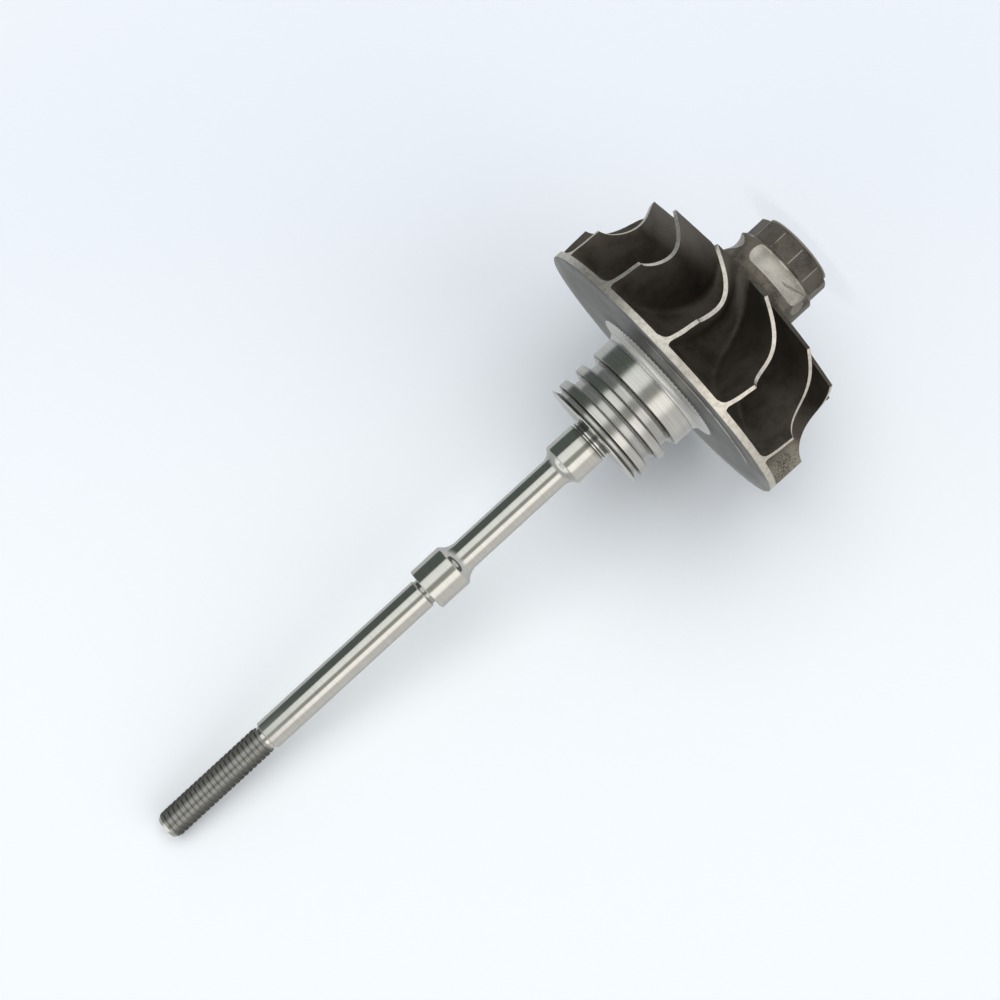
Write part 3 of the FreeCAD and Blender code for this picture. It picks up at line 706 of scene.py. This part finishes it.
FLOOR_REACH = 30.0 * MM
FLOOR_COLOUR = (0.81, 0.85, 0.905)
FLOOR_FADE, FLOOR_END = (9.0, 15.0), (9.5, 16.0)
BOARD_NORMAL = Vector((0.23063, -0.94949, -0.2128)).normalized()
BOARD_SUPPORT = -32.3 * MM
BOARD_WIDE, BOARD_LOW, BOARD_TALL = 0.6, 0.4, 0.6
BOARD_FADE = (95.0, 170.0)
BOARD_HEIGHTS = (-80.0, 205.0)
BOARD_UPPER, BOARD_LOWER = (0.90, 0.925, 0.963), (0.972, 0.992, 1.0)
SKY_COLOUR = (0.88, 0.94, 1.0)

# The walls that bright metal mirrors: degrees from the camera's side towards +X, and colour
WALLS = (
    (-180, (0.44, 0.45, 0.45)), (-130, (0.44, 0.45, 0.45)), (-112, (0.53, 0.525, 0.51)),
    (-64, (0.52, 0.51, 0.49)), (-51, (0.97, 0.95, 0.91)), (-28, (1.0, 0.98, 0.94)),
    (-19, (0.27, 0.27, 0.25)), (0, (0.27, 0.275, 0.26)), (8, (0.78, 0.80, 0.77)),
    (35, (0.76, 0.78, 0.76)), (46, (0.66, 0.69, 0.66)), (50, (0.076, 0.088, 0.078)),
    (113, (0.080, 0.095, 0.090)), (119, (0.42, 0.44, 0.45)), (180, (0.44, 0.45, 0.45)))
# Above and below the walls: the heights of a direction between which the colour comes in
ROOM_ENDS = (
    (0.35, 0.75, (0.36, 0.37, 0.37)), (0.86, 0.96, (0.84, 0.85, 0.84)),
    (-0.35, -0.85, (0.50, 0.51, 0.52)))
WALL_STRENGTH = 1.15


def photo_camera(settings):
    """Puts the camera where the photograph was taken from."""
    scene = bpy.context.scene
    camera = bpy.data.cameras.new("photo_camera")
    camera.lens, camera.sensor_width, camera.sensor_fit = settings.lens, 36.0, "AUTO"
    camera.clip_start, camera.clip_end = 0.01, 20.0
    holder = bpy.data.objects.new("photo_camera", camera)
    holder.location = settings.camera_place
    holder.rotation_euler = settings.camera_turn
    scene.collection.objects.link(holder)
    scene.camera = holder


def pale_surface(tree, glow_colour, light, share, near):
    """Shows a pale colour, and near the object part of the light and shadow that falls on it.

    light is the light on the open surface, so where nothing shades it the two parts add up to
    the pale colour."""
    glow = tree.node("ShaderNodeEmission", {}, {"Color": glow_colour, "Strength": 1.0})
    lift = tree.node("ShaderNodeEmission", {}, {
        "Color": glow_colour, "Strength": (1.0 - share * light) / (1.0 - share)})
    lit = tree.node("ShaderNodeBsdfDiffuse", {}, {"Color": glow_colour})
    return tree.mix_shaders(near, glow, tree.mix_shaders(share, lift, lit))


def show_front(tree, shader, hidden=0.0):
    """Shows the shader on the front of a plane, and nothing on its back or where hidden is 1."""
    back = tree.node("ShaderNodeNewGeometry", out="Backfacing")
    clear = tree.node("ShaderNodeBsdfTransparent")
    tree.surface(tree.mix_shaders(tree.maths("MAXIMUM", back, hidden), shader, clear))


def stage_plane(name, corners, material):
    bm = bmesh.new()
    bm.faces.new([bm.verts.new(corner) for corner in corners])
    mesh = bpy.data.meshes.new(name)
    bm.to_mesh(mesh)
    bm.free()
    mesh.materials.append(material)
    plane = bpy.data.objects.new(name, mesh)
    bpy.context.scene.collection.objects.link(plane)
    plane.visible_glossy = False
    plane.visible_diffuse = False
    plane.visible_shadow = False
    plane.visible_transmission = False


def stage_lamps(settings):
    """Each lamp's name, direction from the object, strength and spread in degrees."""
    return (("key_lamp", (0.37, -0.88, -0.27), settings.key_strength, 60.0),
            ("fill_lamp", (-0.62, -0.62, -0.30), settings.fill_strength, 50.0),
            ("top_lamp", (-0.15, -0.25, 1.0), settings.top_strength, 40.0))


def open_light(settings, normal):
    """The light on a white surface that nothing shades, where 1 is full white."""
    light = settings.sky_strength
    for _, direction, strength, _ in stage_lamps(settings):
        light += strength * max(0.0, normal @ Vector(direction).normalized()) / math.pi
    return light


def lamp(name, direction, strength, spread):
    """A soft lamp far away, in the given direction from the object."""
    light = bpy.data.lights.new(name, "SUN")
    light.energy, light.angle = strength, math.radians(spread)
    made = bpy.data.objects.new(name, light)
    made.rotation_euler = Vector(direction).to_track_quat("Z", "Y").to_euler()
    made.location = Vector(direction).normalized() * 0.5
    made.visible_glossy = False
    bpy.context.scene.collection.objects.link(made)


def pale_floor(settings):
    """The floor keeps the light and shadow next to the nose and thins out from there."""
    material, tree = new_material("pale_floor")
    radius = tree.place().radius
    shown = pale_surface(tree, (*FLOOR_COLOUR, 1.0), open_light(settings, UP), 0.12,
                         1.0 - tree.ramp(radius, *FLOOR_FADE))
    show_front(tree, shown, tree.ramp(radius, *FLOOR_END))
    low, high = -FLOOR_REACH, FLOOR_REACH
    corners = [(low, low, 0.0), (high, low, 0.0), (high, high, 0.0), (low, high, 0.0)]
    stage_plane("floor", corners, material)


def pale_board(settings):
    """The board takes the lamps' shadow, and lightens towards the photograph's lower corner."""
    material, tree = new_material("pale_board")
    at = tree.place()
    near = (1.0 - tree.ramp(at.radius, *BOARD_FADE)) * tree.between(at.z, *BOARD_HEIGHTS, 40.0)
    rise = at.x * 0.735 - (at.z - 64.0) * 0.678
    board = tree.mix(tree.ramp(rise, 75.0, -45.0), BOARD_UPPER, BOARD_LOWER)
    glow = tree.mix(near, tuple(settings.pale), board)
    show_front(tree, pale_surface(tree, glow, open_light(settings, BOARD_NORMAL), 0.93, near))
    level = Vector((BOARD_NORMAL.x, BOARD_NORMAL.y, 0.0))
    foot = level * (BOARD_SUPPORT / level.length_squared)
    across = BOARD_NORMAL.cross(UP).normalized()
    climb = across.cross(BOARD_NORMAL)
    corners = [foot + across * side + climb * up for side, up in (
        (BOARD_WIDE, -BOARD_LOW), (-BOARD_WIDE, -BOARD_LOW),
        (-BOARD_WIDE, BOARD_TALL), (BOARD_WIDE, BOARD_TALL))]
    stage_plane("board", corners, material)


def studio_world(settings):
    """A pale room with a dark gap on one side, which the bright metal mirrors."""
    world = bpy.data.worlds.new("pale_room")
    bpy.context.scene.world = world
    tree = Tree(world)
    x, y, z = tree.split(tree.node("ShaderNodeTexCoord", out="Generated"))
    turn = tree.maths("ARCTAN2", x, y * -1.0)
    stops = [((degrees + 180.0) / 360.0, colour) for degrees, colour in WALLS]
    room = tree.node("ShaderNodeValToRGB", {"stops": stops}, {"Fac": turn * (0.5 / math.pi) + 0.5})
    for low, high, colour in ROOM_ENDS:
        room = tree.mix(tree.ramp(z, low, high), room, colour)
    seen, mirrored, through = (tree.node("ShaderNodeLightPath", out=ray) for ray in (
        "Is Camera Ray", "Is Glossy Ray", "Is Transmission Ray"))
    even, pale, walls = (
        tree.node("ShaderNodeBackground", {}, {"Color": colour, "Strength": strength})
        for colour, strength in (
            ((*SKY_COLOUR, 1.0), settings.sky_strength), ((*settings.pale, 1.0), 1.0),
            (room, WALL_STRENGTH)))
    shown = tree.mix_shaders(seen + through, even, pale)
    tree.node("ShaderNodeOutputWorld", {}, {"Surface": tree.mix_shaders(mirrored, shown, walls)})


class TURBINE_OT_stage(bpy.types.Operator):
    """Set the camera, the lamps, the room and the pale floor"""

    bl_idname = "turbine.stage"
    bl_label = "Stage"

    def execute(self, context):
        settings = context.scene.turbine_stage
        context.scene.view_settings.view_transform = "Standard"
        photo_camera(settings)
        pale_floor(settings)
        pale_board(settings)
        for values in stage_lamps(settings):
            lamp(*values)
        studio_world(settings)
        return {"FINISHED"}


class TURBINE_PT_panel(bpy.types.Panel):
    """Buttons and sizes of the turbine shaft wheel"""

    bl_idname = "TURBINE_PT_panel"
    bl_label = "Turbine shaft wheel"
    bl_space_type = "VIEW_3D"
    bl_region_type = "UI"
    bl_category = "Turbine wheel"

    def draw(self, context):
        for operator, name in PARTS:
            box = self.layout.box()
            box.operator(operator.bl_idname)
            settings = getattr(context.scene, name)
            for key in settings.__annotations__:
                box.prop(settings, key)


PARTS = (
    (TURBINE_OT_wheel, "turbine_wheel"),
    (TURBINE_OT_shaft, "turbine_shaft"),
    (TURBINE_OT_stage, "turbine_stage"),
)
SETTINGS = {
    "turbine_wheel": TurbineWheelSettings,
    "turbine_shaft": TurbineShaftSettings,
    "turbine_stage": TurbineStageSettings,
}
CLASSES = (*SETTINGS.values(), *(operator for operator, name in PARTS), TURBINE_PT_panel)


def register():
    for cls in CLASSES:
        bpy.utils.register_class(cls)
    for name, cls in SETTINGS.items():
        setattr(bpy.types.Scene, name, bpy.props.PointerProperty(type=cls))


def unregister():
    for name in SETTINGS:
        delattr(bpy.types.Scene, name)
    for cls in reversed(CLASSES):
        bpy.utils.unregister_class(cls)


def main():
    register()
    bpy.ops.turbine.wheel()
    bpy.ops.turbine.shaft()
    bpy.ops.turbine.stage()


if __name__ == "__main__":
    main()
